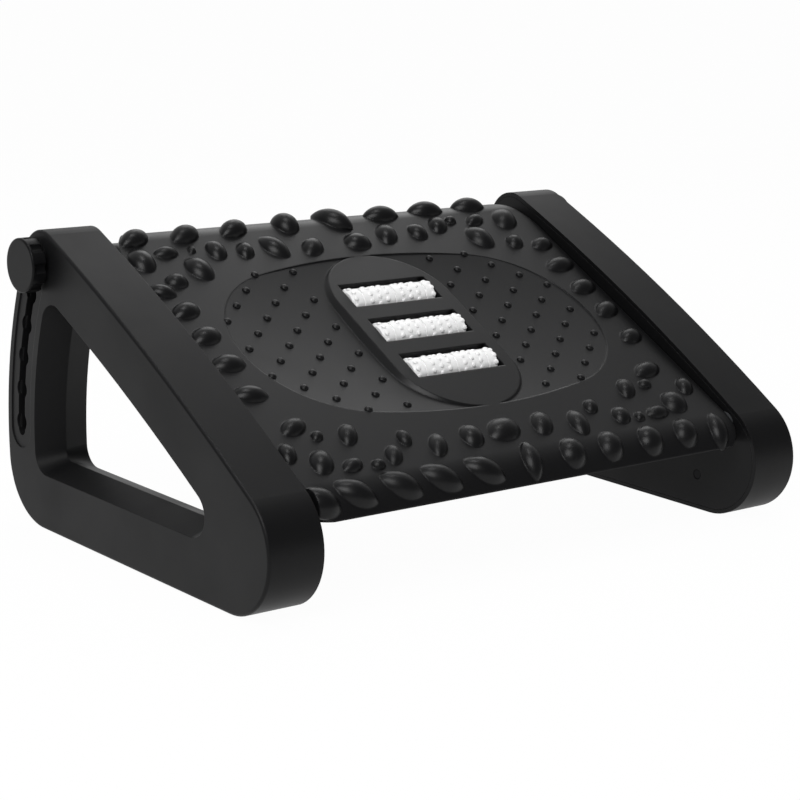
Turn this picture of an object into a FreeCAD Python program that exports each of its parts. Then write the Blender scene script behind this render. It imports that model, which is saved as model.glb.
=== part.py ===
import FreeCAD, Part
import math
import os
import Sketcher

# Tilting under-desk footrest: two hollow side frames, a textured deck hinged near
# its front edge, three massage rollers and two clamp knobs that run in arc slots.
# X runs to the right, Y to the rear and Z up; the origin is on the floor, midway.

V = FreeCAD.Vector
doc = FreeCAD.newDocument("footrest")
dims = doc.addObject("Spreadsheet::Sheet", "dims")

SIZES = (
    ("overall_width", 450, "outer face to outer face of the side frames"),
    ("frame_thick", 40, "thickness of one side frame"),
    ("frame_wall", 3, "moulded wall of the side frame shell"),
    ("frame_lift", 1, "height of the frame's underside above the floor"),
    ("edge_round", 2, "rounding of the frame's outer edge"),
    ("pivot_y", -126.55, "deck hinge axis, front to back"),
    ("pivot_z", 68, "deck hinge axis, height"),
    ("rear_radius", 284, "rear edge of the frame, about the hinge"),
    ("slot_radius", 265, "centre line of the arc slot, about the hinge"),
    ("slant_radius", 1735, "slow crown of the frame's sloping top edge"),
    ("slant_y", -19.55, "middle of the sloping top edge, front to back"),
    ("slant_z", 146, "middle of the sloping top edge, height"),
    ("slant_angle", 28, "slope of the top edge at its middle"),
    ("corner_low", 46, "rear lower corner of the frame"),
    ("corner_top", 24, "rear upper corner of the frame"),
    ("corner_nose", 41, "nose of the frame"),
    ("band_width", 38, "width of the frame members at the outer face"),
    ("waist_inset", 7, "how far the opening narrows to its middle"),
    ("opening_round", 15, "corner rounding of the frame opening"),
    ("rebate_gap", 0.2, "gap round the frame cover"),
    ("cover_thick", 3, "thickness of the frame cover"),
    ("boss_radius", 4, "radius of the cover screw bosses"),
    ("rib_thick", 2, "thickness of the stiffening ribs"),
    ("rail_half", 12, "half width of the thickened band behind the slot"),
    ("rail_depth", 8, "depth of that band behind the outer wall"),
    ("recess_half", 12.8, "half width of the shallow recess round the slot"),
    ("recess_depth", 0.8, "depth of the shallow recess"),
    ("neck_half", 4.3, "half width of the arc slot"),
    ("detent_radius", 6.5, "radius of each detent pocket"),
    ("detent_depth", 2.2, "depth of each detent pocket"),
    ("detent_step", 5, "angle from one detent to the next"),
    ("detent_gaps", 5, "number of steps between the end detents"),
    ("slot_runout", 1.1, "angle that the slot runs past its last detent"),
    ("knob_arm_angle", 2.6, "angle of the knob axis below the deck plane"),
    ("deck_angle", 28, "slope of the deck at its highest setting"),
    ("deck_wall", 3, "wall of the deck"),
    ("pivot_s", -150, "hinge axis along the deck"),
    ("pivot_n", -9.5, "hinge axis below the deck plane"),
    ("lip_start", -148, "where the front lip starts to curve"),
    ("lip_radius", 40, "radius of the front lip"),
    ("lip_turn", 40, "angle that the front lip curves through"),
    ("heel_start", 102, "where the rear edge starts to curve"),
    ("heel_radius", 25, "radius of the rear edge"),
    ("heel_depth", 34, "depth of the rear skirt"),
    ("skirt_depth", 22, "depth of the side skirts"),
    ("front_corner", 16, "front corners of the deck in plan"),
    ("rear_corner", 50, "rear corners of the deck in plan"),
    ("dish_s", -20.5, "middle of the dish along the deck"),
    ("dish_half_width", 150, "half width of the dish"),
    ("dish_half_depth", 84, "half length of the dish along the deck"),
    ("dish_end_radius", 76, "radius of the ends of the dish"),
    ("dish_fall", 5, "depth of the dish at its middle"),
    ("pad_half_width", 48, "half width of the raised roller pad"),
    ("pad_half_length", 84, "half length of the raised roller pad"),
    ("floor_thick", 3.2, "material left under the deepest part of the dish"),
    ("roller_s", -17.5, "middle roller along the deck"),
    ("roller_pitch", 39, "spacing of the rollers"),
    ("roller_radius", 10.2, "radius of a roller barrel"),
    ("roller_length", 72.4, "length of a roller"),
    ("roller_drop", 7.3, "roller axis below the deck plane"),
    ("roller_groove", 27, "spacing of the grooves in a roller"),
    ("window_gap", 2.1, "gap between a roller barrel and its window"),
    ("window_end", 1.3, "gap past the end of a roller in its window"),
    ("axle_radius", 3, "radius of a roller axle"),
    ("axle_length", 88, "length of a roller axle"),
    ("fit_gap", 0.05, "running clearance of a shaft in its bore"),
    ("tub_wall", 2.6, "wall of the roller cradle"),
    ("pin_radius", 4, "radius of a hinge pin"),
    ("bush_wall", 2, "wall of a hinge bush"),
    ("bush_length", 14, "length of a hinge bush in the deck"),
    ("side_gap", 4, "gap between the deck and the side frame"),
    ("run_gap", 0.3, "gap where a flange runs beside the frame"),
    ("stud_radius", 4, "radius of the clamp stud"),
    ("nut_across", 13, "across the flats of the captive nut"),
    ("nut_thick", 6.5, "thickness of the captive nut"),
    ("knob_radius", 18.2, "radius of the knob"),
    ("knob_thick", 10.2, "thickness of the knob head"),
    ("knob_round", 1.2, "rounding of the knob face"),
    ("knob_standoff", 2.5, "gap between the released knob and the frame"),
    ("hub_radius", 6.3, "radius of the knob hub that seats in a detent"),
    ("hub_length", 3, "length of the knob hub"),
    ("foot_width", 26, "width of a rubber foot"),
    ("foot_length", 38, "length of a rubber foot"),
    ("foot_thick", 3, "thickness of a rubber foot"),
    ("foot_front_y", -90.5, "front foot, front to back"),
    ("foot_rear_y", 87.5, "rear foot, front to back"),
)
for row, (alias, value, note) in enumerate(SIZES, 1):
    dims.set("A%d" % row, note)
    dims.set("B%d" % row, str(value))
    dims.setAlias("B%d" % row, alias)
doc.recompute()


def size(alias):
    return float(dims.get(alias))


# Curves in the side view: a line keeps the material on its left, a circle keeps it inside.
def straight(y, z, angle):
    return ("line", y, z, math.radians(angle))


def round_edge(y, z, radius):
    return ("circle", y, z, radius)


def inset(curve, distance):
    if curve[0] == "circle":
        return ("circle", curve[1], curve[2], curve[3] - distance)
    a = curve[3]
    return ("line", curve[1] - distance * math.sin(a), curve[2] + distance * math.cos(a), a)


def crossings(first, second):
    if first[0] == "line" and second[0] == "line":
        raise ValueError("two lines are never neighbours here")
    if second[0] == "line":
        first, second = second, first
    if first[0] == "line":
        dy = math.cos(first[3])
        dz = math.sin(first[3])
        along = (second[1] - first[1]) * dy + (second[2] - first[2]) * dz
        foot_y = first[1] + along * dy
        foot_z = first[2] + along * dz
        half = math.sqrt(second[3] ** 2 - (second[1] - foot_y) ** 2 - (second[2] - foot_z) ** 2)
        return [(foot_y + half * dy, foot_z + half * dz), (foot_y - half * dy, foot_z - half * dz)]
    gap_y = second[1] - first[1]
    gap_z = second[2] - first[2]
    gap = math.hypot(gap_y, gap_z)
    along = (gap ** 2 + first[3] ** 2 - second[3] ** 2) / (2 * gap)
    half = math.sqrt(first[3] ** 2 - along ** 2)
    foot_y = first[1] + along * gap_y / gap
    foot_z = first[2] + along * gap_z / gap
    off_y = -gap_z / gap * half
    off_z = gap_y / gap * half
    return [(foot_y + off_y, foot_z + off_z), (foot_y - off_y, foot_z - off_z)]


def touch(curve, centre):
    if curve[0] == "circle":
        away = math.hypot(centre[0] - curve[1], centre[1] - curve[2])
        share = curve[3] / away
        return (curve[1] + (centre[0] - curve[1]) * share, curve[2] + (centre[1] - curve[2]) * share)
    dy = math.cos(curve[3])
    dz = math.sin(curve[3])
    along = (centre[0] - curve[1]) * dy + (centre[1] - curve[2]) * dz
    return (curve[1] + along * dy, curve[2] + along * dz)


def bow(x, centre, radius, start, end):
    # An arc of less than half a turn between two points of a circle.
    out_y = (start[0] + end[0]) / 2 - centre[0]
    out_z = (start[1] + end[1]) / 2 - centre[1]
    share = radius / math.hypot(out_y, out_z)
    middle = V(x, centre[0] + out_y * share, centre[1] + out_z * share)
    return Part.Arc(V(x, *start), middle, V(x, *end)).toShape()


def outline(x, curves, radii, towards):
    # A closed outline of tangent curves: each corner is rounded by its own radius.
    rounds = []
    for i, curve in enumerate(curves):
        after = curves[(i + 1) % len(curves)]
        spots = crossings(inset(curve, radii[i]), inset(after, radii[i]))
        centre = max(spots, key=lambda spot: spot[0] * towards[i][0] + spot[1] * towards[i][1])
        rounds.append((centre, touch(curve, centre), touch(after, centre)))
    edges = []
    for i, curve in enumerate(curves):
        start = rounds[i - 1][2]
        centre, end, leave = rounds[i]
        if curve[0] == "line":
            edges.append(Part.LineSegment(V(x, *start), V(x, *end)).toShape())
        else:
            edges.append(bow(x, (curve[1], curve[2]), curve[3], start, end))
        edges.append(bow(x, centre, radii[i], end, leave))
    return Part.Wire(edges)


def prism(wire, length):
    return Part.Face(wire).extrude(V(length, 0, 0))


def rod(radius, x_from, x_to, y, z):
    return Part.makeCylinder(radius, abs(x_to - x_from), V(min(x_from, x_to), y, z), V(1, 0, 0))


# The three curves that every outline of the side frame follows.
outer_x = size("overall_width") / 2
inner_x = outer_x - size("frame_thick")
waist_x = (outer_x + inner_x) / 2
pivot = (size("pivot_y"), size("pivot_z"))
slope = math.radians(size("slant_angle"))
crown_y = size("slant_y") + size("slant_radius") * math.sin(slope)
crown_z = size("slant_z") - size("slant_radius") * math.cos(slope)
FRAME_CURVES = (
    straight(0, size("frame_lift"), 0),
    round_edge(pivot[0], pivot[1], size("rear_radius")),
    round_edge(crown_y, crown_z, size("slant_radius")),
)
FRAME_CORNERS = ((1, -1), (0, 1), (-1, -1))
FRAME_RADII = (size("corner_low"), size("corner_top"), size("corner_nose"))


def frame_outline(x, distance):
    curves = [inset(curve, distance) for curve in FRAME_CURVES]
    return outline(x, curves, [radius - distance for radius in FRAME_RADII], FRAME_CORNERS)


def opening_outline(x, distance):
    # The opening in the frame: the same three curves set in by the member width.
    deep = size("band_width") + distance
    curves = [inset(curve, deep) for curve in FRAME_CURVES]
    return outline(x, curves, [size("opening_round") - distance] * 3, FRAME_CORNERS)


def arc_spot(radius, angle):
    turn = math.radians(angle)
    return (pivot[0] + radius * math.cos(turn), pivot[1] + radius * math.sin(turn))


def arc_band(half_width, low, high, x_from, x_to):
    # A band that follows the arc slot between two angles, with round ends.
    middle = size("slot_radius")
    outside = middle + half_width
    inside = middle - half_width
    half = (low + high) / 2
    past = math.degrees(half_width / middle)
    edges = (
        Part.Arc(
            V(x_from, *arc_spot(outside, low)),
            V(x_from, *arc_spot(outside, half)),
            V(x_from, *arc_spot(outside, high)),
        ).toShape(),
        Part.Arc(
            V(x_from, *arc_spot(outside, high)),
            V(x_from, *arc_spot(middle, high + past)),
            V(x_from, *arc_spot(inside, high)),
        ).toShape(),
        Part.Arc(
            V(x_from, *arc_spot(inside, high)),
            V(x_from, *arc_spot(inside, half)),
            V(x_from, *arc_spot(inside, low)),
        ).toShape(),
        Part.Arc(
            V(x_from, *arc_spot(inside, low)),
            V(x_from, *arc_spot(middle, low - past)),
            V(x_from, *arc_spot(outside, low)),
        ).toShape(),
    )
    return prism(Part.Wire(edges), x_to - x_from)


top_angle = size("deck_angle") - size("knob_arm_angle")
low_angle = top_angle - size("detent_step") * size("detent_gaps")
knob_axis = arc_spot(size("slot_radius"), top_angle)
slot_low = low_angle - size("slot_runout")
slot_high = top_angle + size("slot_runout") / 2

# Screw places on the middle line of the frame members, then the ribs between them.
member = size("band_width") / 2
base_z = size("frame_lift") + member
COVER_SCREWS = (
    (size("pivot_y") + 24, base_z + 6),
    (size("slant_y") - 8, base_z),
    (size("pivot_y") + 188, base_z),
)


def slant_spot(along):
    # A place on the middle line of the sloping member, measured from its middle.
    turn = slope - along / size("slant_radius")
    reach = size("slant_radius") - member
    return (crown_y - reach * math.sin(turn), crown_z + reach * math.cos(turn))


COVER_SCREWS = COVER_SCREWS + (slant_spot(-62), slant_spot(24), slant_spot(98))
FOOT_SPOTS = (size("foot_front_y"), size("foot_rear_y"))


def side_shell():
    back_x = outer_x - size("frame_wall")
    body = prism(frame_outline(inner_x, 0), size("frame_thick"))
    rim = []
    for edge in body.Edges:
        box = edge.BoundBox
        if box.XMin > outer_x - 0.01:
            rim.append(edge)
    body = body.makeFillet(size("edge_round"), rim)
    room = prism(frame_outline(inner_x - 1, size("frame_wall")), back_x - inner_x + 1)
    grown = -size("frame_wall")
    collar = Part.makeLoft(
        [opening_outline(outer_x, grown), opening_outline(waist_x, size("waist_inset") + grown)], True, True
    )
    rail = arc_band(size("rail_half"), slot_low, slot_high, back_x - size("rail_depth"), back_x + 1)
    seat_x = inner_x + size("cover_thick")
    bosses = [rod(size("boss_radius"), seat_x, back_x + 1, y, z) for y, z in COVER_SCREWS]
    bosses.append(rod(size("pin_radius") + 5, seat_x, back_x + 1, *pivot))
    hollow = room.cut([collar, rail] + bosses)
    shell = body.cut(hollow)
    # Cross ribs stand between the outer wall and the collar of the opening.
    ribs = []
    rib = size("rib_thick")
    for y in (pivot[0] + 58, pivot[0] + 140, pivot[0] + 212):
        ribs.append(Part.makeBox(back_x - waist_x + 1, rib, 2 * member, V(waist_x, y, size("frame_lift"))))
    for along in (-90, -20, 60):
        spot = slant_spot(along)
        plate = Part.makeBox(back_x - waist_x + 1, rib, 2 * member, V(waist_x, -rib / 2, -member))
        plate.rotate(V(0, 0, 0), V(1, 0, 0), size("slant_angle"))
        plate.translate(V(0, *spot))
        ribs.append(plate)
    inside = prism(frame_outline(waist_x, 0.5), back_x - waist_x + 0.5)
    keep_out = Part.makeLoft(
        [opening_outline(outer_x, -1), opening_outline(waist_x, size("waist_inset") - 1)], True, True
    )
    ribs = [plate.common(inside).cut(keep_out) for plate in ribs]
    shell = shell.fuse(ribs)
    window = Part.makeLoft(
        [opening_outline(outer_x, 0), opening_outline(waist_x, size("waist_inset"))], True, True
    )
    window = window.fuse(prism(opening_outline(outer_x, 0), 1))
    low_window = prism(opening_outline(inner_x - 1, size("waist_inset")), waist_x - inner_x + 1)
    cuts = [window, low_window]
    cuts.append(arc_band(size("recess_half"), slot_low, slot_high, outer_x - size("recess_depth"), outer_x + 1))
    cuts.append(arc_band(size("neck_half"), slot_low, slot_high, back_x - size("rail_depth") - 1, outer_x + 1))
    floor_x = outer_x - size("recess_depth") - size("detent_depth")
    for step in range(int(size("detent_gaps")) + 1):
        spot = arc_spot(size("slot_radius"), top_angle - step * size("detent_step"))
        cuts.append(rod(size("detent_radius"), floor_x, outer_x + 1, *spot))
    for y, z in COVER_SCREWS:
        cuts.append(rod(1.5, seat_x, back_x - 2, y, z))
    cuts.append(rod(size("pin_radius") + 0.01, seat_x, back_x - 8, *pivot))
    for y in FOOT_SPOTS:
        cuts.append(foot_block(y, size("frame_lift") - 1, size("foot_thick"), size("rebate_gap")))
    shell = shell.cut(cuts)
    return shell.removeSplitter()


def foot_block(y, low, high, gap):
    # An oblong foot with round corners, under the middle of the side frame.
    half_x = size("foot_width") / 2 + gap
    half_y = size("foot_length") / 2 + gap
    block = Part.makeBox(2 * half_x, 2 * half_y, high - low, V(waist_x - half_x, y - half_y, low))
    corners = [edge for edge in block.Edges if edge.BoundBox.ZLength > (high - low) * 0.9]
    return block.makeFillet(6, corners)


def side_cover():
    gap = size("frame_wall") + size("rebate_gap")
    plate = prism(frame_outline(inner_x, gap), size("cover_thick"))
    grown = -size("frame_wall")
    collar = Part.makeLoft(
        [opening_outline(inner_x, grown), opening_outline(waist_x, size("waist_inset") + grown)], True, True
    )
    cover = plate.fuse(collar)
    window = Part.makeLoft(
        [opening_outline(inner_x, 0), opening_outline(waist_x, size("waist_inset"))], True, True
    )
    cuts = [window]
    cuts.append(arc_band(size("neck_half"), slot_low, slot_high, inner_x - 1, inner_x + size("cover_thick") + 1))
    for y, z in COVER_SCREWS:
        cuts.append(rod(1.6, inner_x - 1, inner_x + size("cover_thick") + 1, y, z))
        cuts.append(rod(3.6, inner_x - 1, inner_x + 1.8, y, z))
    cuts.append(rod(size("pin_radius") + 0.2, inner_x - 1, inner_x + size("cover_thick") + 1, *pivot))
    return cover.cut(cuts).removeSplitter()


def mirrored(shape):
    return shape.mirror(V(0, 0, 0), V(1, 0, 0))


def feature(name, shape):
    obj = doc.addObject("Part::Feature", name)
    obj.Label = name
    obj.Shape = shape
    obj.Placement = FreeCAD.Placement(V(0, 0, 0), FreeCAD.Rotation())
    return obj


right_shell = side_shell()
right_cover = side_cover()
parts = [
    feature("frame_shell_left", mirrored(right_shell)),
    feature("frame_shell_right", right_shell),
    feature("frame_cover_left", mirrored(right_cover)),
    feature("frame_cover_right", right_cover),
]

feet = [foot_block(y, 0, size("foot_thick"), 0) for y in FOOT_SPOTS]
parts.append(feature("rubber_feet", Part.makeCompound(feet + [mirrored(foot) for foot in feet])))


def pan_screw(head_x, y, z, length):
    head = rod(3.2, head_x, head_x + 1.7, y, z)
    return head.fuse(rod(1.45, head_x + 1.6, head_x + length, y, z)).removeSplitter()


screws = [pan_screw(inner_x + 0.1, y, z, 14) for y, z in COVER_SCREWS]
parts.append(feature("cover_screws", Part.makeCompound(screws + [mirrored(screw) for screw in screws])))


# Placing pieces: along the deck is s, square to it is n, both from the hinge axis.
ALONG = "(%s - dims.pivot_s)"
ABOVE = "(%s - dims.pivot_n)"
ACROSS_X = FreeCAD.Rotation(V(0, 1, 0), 90)


def on_deck(obj, x, s, n, rotation):
    obj.Placement = FreeCAD.Placement(V(0, 0, 0), rotation)
    run = ALONG % s
    rise = ABOVE % n
    obj.setExpression("Placement.Base.x", x)
    obj.setExpression(
        "Placement.Base.y", "dims.pivot_y + %s * cos(dims.deck_angle) - %s * sin(dims.deck_angle)" % (run, rise)
    )
    obj.setExpression(
        "Placement.Base.z", "dims.pivot_z + %s * sin(dims.deck_angle) + %s * cos(dims.deck_angle)" % (run, rise)
    )


def cylinder(name, radius, length):
    obj = doc.addObject("Part::Cylinder", name)
    obj.setExpression("Radius", radius)
    obj.setExpression("Height", length)
    return obj


def origin_plane(body, role):
    for item in body.Origin.OriginFeatures:
        if item.Role == role:
            return item
    raise ValueError(role)


def new_sketch(body, name, role):
    sketch = body.newObject("Sketcher::SketchObject", name)
    sketch.AttachmentSupport = [(origin_plane(body, role), "")]
    sketch.MapMode = "FlatFace"
    return sketch


def bind(sketch, index, expression):
    sketch.setExpression("Constraints[%d]" % index, expression)


def ring(sketch, radius, across="0", up="0"):
    # A circle whose radius and centre follow the sheet.
    centre = V(sketch.evalExpression(across), sketch.evalExpression(up), 0)
    spot = sketch.addGeometry(Part.Circle(centre, V(0, 0, 1), sketch.evalExpression(radius)), False)
    bind(sketch, sketch.addConstraint(Sketcher.Constraint("Radius", spot, sketch.evalExpression(radius))), radius)
    for kind, value in (("DistanceX", across), ("DistanceY", up)):
        number = sketch.evalExpression(value)
        if abs(number) < 1e-9:
            axis = -2 if kind == "DistanceX" else -1
            sketch.addConstraint(Sketcher.Constraint("PointOnObject", spot, 3, axis))
        else:
            bind(sketch, sketch.addConstraint(Sketcher.Constraint(kind, spot, 3, number)), value)


def polygon(sketch, corners):
    # A closed polygon: both places of every corner follow the sheet.
    spots = [V(sketch.evalExpression(a), sketch.evalExpression(b), 0) for a, b in corners]
    lines = []
    for i, spot in enumerate(spots):
        lines.append(sketch.addGeometry(Part.LineSegment(spot, spots[(i + 1) % len(spots)]), False))
    for i, line in enumerate(lines):
        after = lines[(i + 1) % len(lines)]
        sketch.addConstraint(Sketcher.Constraint("Coincident", line, 2, after, 1))
    for i, (a, b) in enumerate(corners):
        bind(sketch, sketch.addConstraint(Sketcher.Constraint("DistanceX", lines[i], 1, spots[i].x)), a)
        bind(sketch, sketch.addConstraint(Sketcher.Constraint("DistanceY", lines[i], 1, spots[i].y)), b)


def revolved(name, corners):
    # A turned piece: its half section is drawn above the X axis.
    body = doc.addObject("PartDesign::Body", name)
    body.Label = name
    sketch = new_sketch(body, name + "_section", "XY_Plane")
    polygon(sketch, corners)
    turn = body.newObject("PartDesign::Revolution", name + "_turn")
    turn.Profile = sketch
    turn.ReferenceAxis = (sketch, ["H_Axis"])
    turn.Angle = 360
    body.Tip = turn
    return body


# Rollers and their axles, from the rear one to the front one.
for place, step in (("rear", 1), ("middle", 0), ("front", -1)):
    where = "dims.roller_s + %d * dims.roller_pitch" % step
    end = "dims.roller_length / 2"
    bore = "dims.axle_radius + dims.fit_gap"
    rim = "dims.roller_radius"
    corners = [("-" + end, bore), (end, bore), (end, rim + " - 2"), (end + " - 2", rim)]
    for groove in (1, 0, -1):
        middle = "%d * dims.roller_groove" % groove
        for edge, depth in ((" + 0.8", ""), (" + 0.8", " - 1.2"), (" - 0.8", " - 1.2"), (" - 0.8", "")):
            corners.append((middle + edge, rim + depth))
    corners += [("2 - " + end, rim), ("-" + end, rim + " - 2")]
    roller = revolved("roller_" + place, corners)
    on_deck(roller, "0", where, "-dims.roller_drop", FreeCAD.Rotation())
    parts.append(roller)
    axle = cylinder("axle_" + place, "dims.axle_radius", "dims.axle_length")
    on_deck(axle, "-dims.axle_length / 2", where, "-dims.roller_drop", ACROSS_X)
    parts.append(axle)

# Hinge pins held in the frames, and the flanged bushes that turn on them.
HALF = "dims.overall_width / 2 - dims.frame_thick"
for side, name in ((-1, "left"), (1, "right")):
    outward = FreeCAD.Rotation() if side > 0 else FreeCAD.Rotation(V(0, 0, 1), 180)
    away = FreeCAD.Rotation(V(0, 1, 0), 90 * side)
    pin = cylinder("hinge_pin_" + name, "dims.pin_radius", "dims.frame_thick - dims.frame_wall - 8 + 18")
    on_deck(pin, "%d * (%s - 18)" % (side, HALF), "dims.pivot_s", "dims.pivot_n", away)
    parts.append(pin)
    deep = "-dims.bush_length"
    proud = "dims.side_gap - dims.run_gap"
    bush = revolved(
        "hinge_bush_" + name,
        [
            (deep, "dims.pin_radius + dims.fit_gap"),
            (proud, "dims.pin_radius + dims.fit_gap"),
            (proud, "dims.pin_radius + dims.bush_wall + 2.5"),
            ("0", "dims.pin_radius + dims.bush_wall + 2.5"),
            ("0", "dims.pin_radius + dims.bush_wall"),
            (deep, "dims.pin_radius + dims.bush_wall"),
        ],
    )
    on_deck(bush, "%d * (%s - dims.side_gap)" % (side, HALF), "dims.pivot_s", "dims.pivot_n", outward)
    parts.append(bush)

# The clamp: a captive nut in the deck, a stud through the slot, and a scalloped knob.
ARM_S = "dims.pivot_s + dims.slot_radius * cos(dims.knob_arm_angle)"
ARM_N = "dims.pivot_n - dims.slot_radius * sin(dims.knob_arm_angle)"
NUT_IN = HALF + " - 27"
KNOB_X = "dims.overall_width / 2 + dims.knob_standoff"
for side, name in ((-1, "left"), (1, "right")):
    outward = FreeCAD.Rotation() if side > 0 else FreeCAD.Rotation(V(0, 0, 1), 180)
    away = FreeCAD.Rotation(V(0, 1, 0), 90 * side)
    blank = doc.addObject("Part::Prism", "nut_blank_" + name)
    blank.Polygon = 6
    blank.setExpression("Circumradius", "dims.nut_across / 2 / cos(30)")
    blank.setExpression("Height", "dims.nut_thick")
    tapped = cylinder("nut_bore_" + name, "dims.stud_radius + dims.fit_gap", "dims.nut_thick")
    nut = doc.addObject("Part::Cut", "clamp_nut_" + name)
    nut.Base = blank
    nut.Tool = tapped
    tilt = FreeCAD.Rotation(V(1, 0, 0), size("deck_angle"))
    on_deck(nut, "%d * (%s + 0.1)" % (side, NUT_IN), ARM_S, ARM_N, tilt.multiply(away))
    nut.Label = "clamp_nut_" + name
    parts.append(nut)
    stud = cylinder("clamp_stud_" + name, "dims.stud_radius", KNOB_X + " + 7.5 - (" + NUT_IN + ") - 2.5")
    on_deck(stud, "%d * (%s + 2.5)" % (side, NUT_IN), ARM_S, ARM_N, away)
    parts.append(stud)

    knob = doc.addObject("PartDesign::Body", "knob_" + name)
    knob.Label = "knob_" + name
    disc = new_sketch(knob, "disc_" + name, "YZ_Plane")
    ring(disc, "dims.knob_radius")
    head = knob.newObject("PartDesign::Pad", "head_" + name)
    head.Profile = disc
    head.setExpression("Length", "dims.knob_thick")
    doc.recompute()
    brim = []
    for number, edge in enumerate(head.Shape.Edges, 1):
        if edge.BoundBox.XMin > size("knob_thick") - 0.1 and edge.BoundBox.YLength > 1:
            brim.append("Edge%d" % number)
    soft = knob.newObject("PartDesign::Fillet", "brim_" + name)
    soft.Base = (head, brim)
    soft.setExpression("Radius", "dims.knob_round")
    finger = new_sketch(knob, "scallop_" + name, "YZ_Plane")
    ring(finger, "4.2", "0", "dims.knob_radius + 2.2")
    doc.recompute()
    scallop = knob.newObject("PartDesign::Pocket", "grip_" + name)
    scallop.Profile = finger
    scallop.Reversed = True
    scallop.setExpression("Length", "dims.knob_thick - 2")
    doc.recompute()
    around = knob.newObject("PartDesign::PolarPattern", "grips_" + name)
    around.Originals = [scallop]
    around.Axis = (disc, ["N_Axis"])
    around.Angle = 360
    around.Occurrences = 8
    knob.Tip = around
    doc.recompute()
    boss = new_sketch(knob, "boss_" + name, "YZ_Plane")
    ring(boss, "dims.hub_radius")
    hub = knob.newObject("PartDesign::Pad", "hub_" + name)
    hub.Profile = boss
    hub.Reversed = True
    hub.setExpression("Length", "dims.hub_length")
    doc.recompute()
    core = new_sketch(knob, "core_" + name, "YZ_Plane")
    core.setExpression("AttachmentOffset.Base.z", "-dims.hub_length")
    ring(core, "dims.stud_radius + dims.fit_gap")
    bore = knob.newObject("PartDesign::Pocket", "bore_" + name)
    bore.Profile = core
    bore.Reversed = True
    bore.setExpression("Length", "dims.hub_length + 8")
    knob.Tip = bore
    doc.recompute()
    on_deck(knob, "%d * (%s)" % (side, KNOB_X), ARM_S, ARM_N, outward)
    parts.append(knob)

# The deck, drawn flat: X across, Y along it (s) and Z square to it (n).
lip_s = size("lip_start")
lip_r = size("lip_radius")
turn = math.radians(size("lip_turn"))
heel_s = size("heel_start")
heel_r = size("heel_radius")
wall = size("deck_wall")
half_width = inner_x - size("side_gap")
rear_s = heel_s + heel_r
arm = math.radians(size("knob_arm_angle"))
arm_s = size("pivot_s") + size("slot_radius") * math.cos(arm)
arm_n = size("pivot_n") - size("slot_radius") * math.sin(arm)
slab_n = -(size("dish_fall") + size("floor_thick"))


def lip_spot(radius, share):
    return (lip_s - radius * math.sin(turn * share), -lip_r + radius * math.cos(turn * share))


def heel_spot(radius, degrees):
    a = math.radians(degrees)
    return (heel_s + radius * math.sin(a), -heel_r + radius * math.cos(a))


def swept_side(x, inward):
    # Closed side section of the deck, or of the hollow under it when inward is the wall.
    front = lip_spot(lip_r - inward, 1)
    rear = rear_s - inward
    points = [(rear, -size("heel_depth")), (rear - 30, -size("heel_depth"))]
    points += [(rear - 62, -size("skirt_depth")), (lip_s - 4, -size("skirt_depth"))]
    if inward:
        points = [(rear, -2 * size("heel_depth")), (front[0], -2 * size("heel_depth"))]
    edges = [
        Part.Arc(V(x, *front), V(x, *lip_spot(lip_r - inward, 0.5)), V(x, lip_s, -inward)).toShape(),
        Part.LineSegment(V(x, lip_s, -inward), V(x, heel_s, -inward)).toShape(),
        Part.Arc(
            V(x, heel_s, -inward), V(x, *heel_spot(heel_r - inward, 45)), V(x, *heel_spot(heel_r - inward, 90))
        ).toShape(),
    ]
    corners = [heel_spot(heel_r - inward, 90)] + points + [front]
    for first, second in zip(corners, corners[1:]):
        edges.append(Part.LineSegment(V(x, *first), V(x, *second)).toShape())
    return Part.Wire(edges)


def plan_block(half, front, rear, front_round, rear_round, low, high):
    block = Part.makeBox(2 * half, rear - front, high - low, V(-half, front, low))
    for s_edge, radius in ((front, front_round), (rear, rear_round)):
        uprights = [
            edge
            for edge in block.Edges
            if edge.BoundBox.ZLength > (high - low) * 0.9 and abs(edge.BoundBox.YMin - s_edge) < 0.01
            and edge.BoundBox.YLength < 0.01
        ]
        block = block.makeFillet(radius, uprights)
    return block


def stadium(half_x, half_s, n):
    # Round-ended outline of the raised roller pad.
    s = size("dish_s")
    reach = half_s - half_x
    edges = (
        Part.LineSegment(V(half_x, s - reach, n), V(half_x, s + reach, n)).toShape(),
        Part.Arc(V(half_x, s + reach, n), V(0, s + half_s, n), V(-half_x, s + reach, n)).toShape(),
        Part.LineSegment(V(-half_x, s + reach, n), V(-half_x, s - reach, n)).toShape(),
        Part.Arc(V(-half_x, s - reach, n), V(0, s - half_s, n), V(half_x, s - reach, n)).toShape(),
    )
    return Part.Wire(edges)


def oval(grow, low, high):
    # The dish outline: two long arcs joined by two round ends.
    a = size("dish_half_width") + grow
    b = size("dish_half_depth") + grow
    r_end = size("dish_end_radius") + grow
    r_long = (b * b + (a - r_end) ** 2 - r_end ** 2) / (2 * (b - r_end))
    s = size("dish_s")
    lean = math.atan2(a - r_end, r_long - b)
    side_x = (a - r_end) + r_end * math.sin(lean)
    side_s = r_end * math.cos(lean)
    edges = (
        Part.Arc(V(side_x, s + side_s, low), V(0, s + b, low), V(-side_x, s + side_s, low)).toShape(),
        Part.Arc(V(-side_x, s + side_s, low), V(-a, s, low), V(-side_x, s - side_s, low)).toShape(),
        Part.Arc(V(-side_x, s - side_s, low), V(0, s - b, low), V(side_x, s - side_s, low)).toShape(),
        Part.Arc(V(side_x, s - side_s, low), V(a, s, low), V(side_x, s + side_s, low)).toShape(),
    )
    return Part.Face(Part.Wire(edges)).extrude(V(0, 0, high - low))


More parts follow.
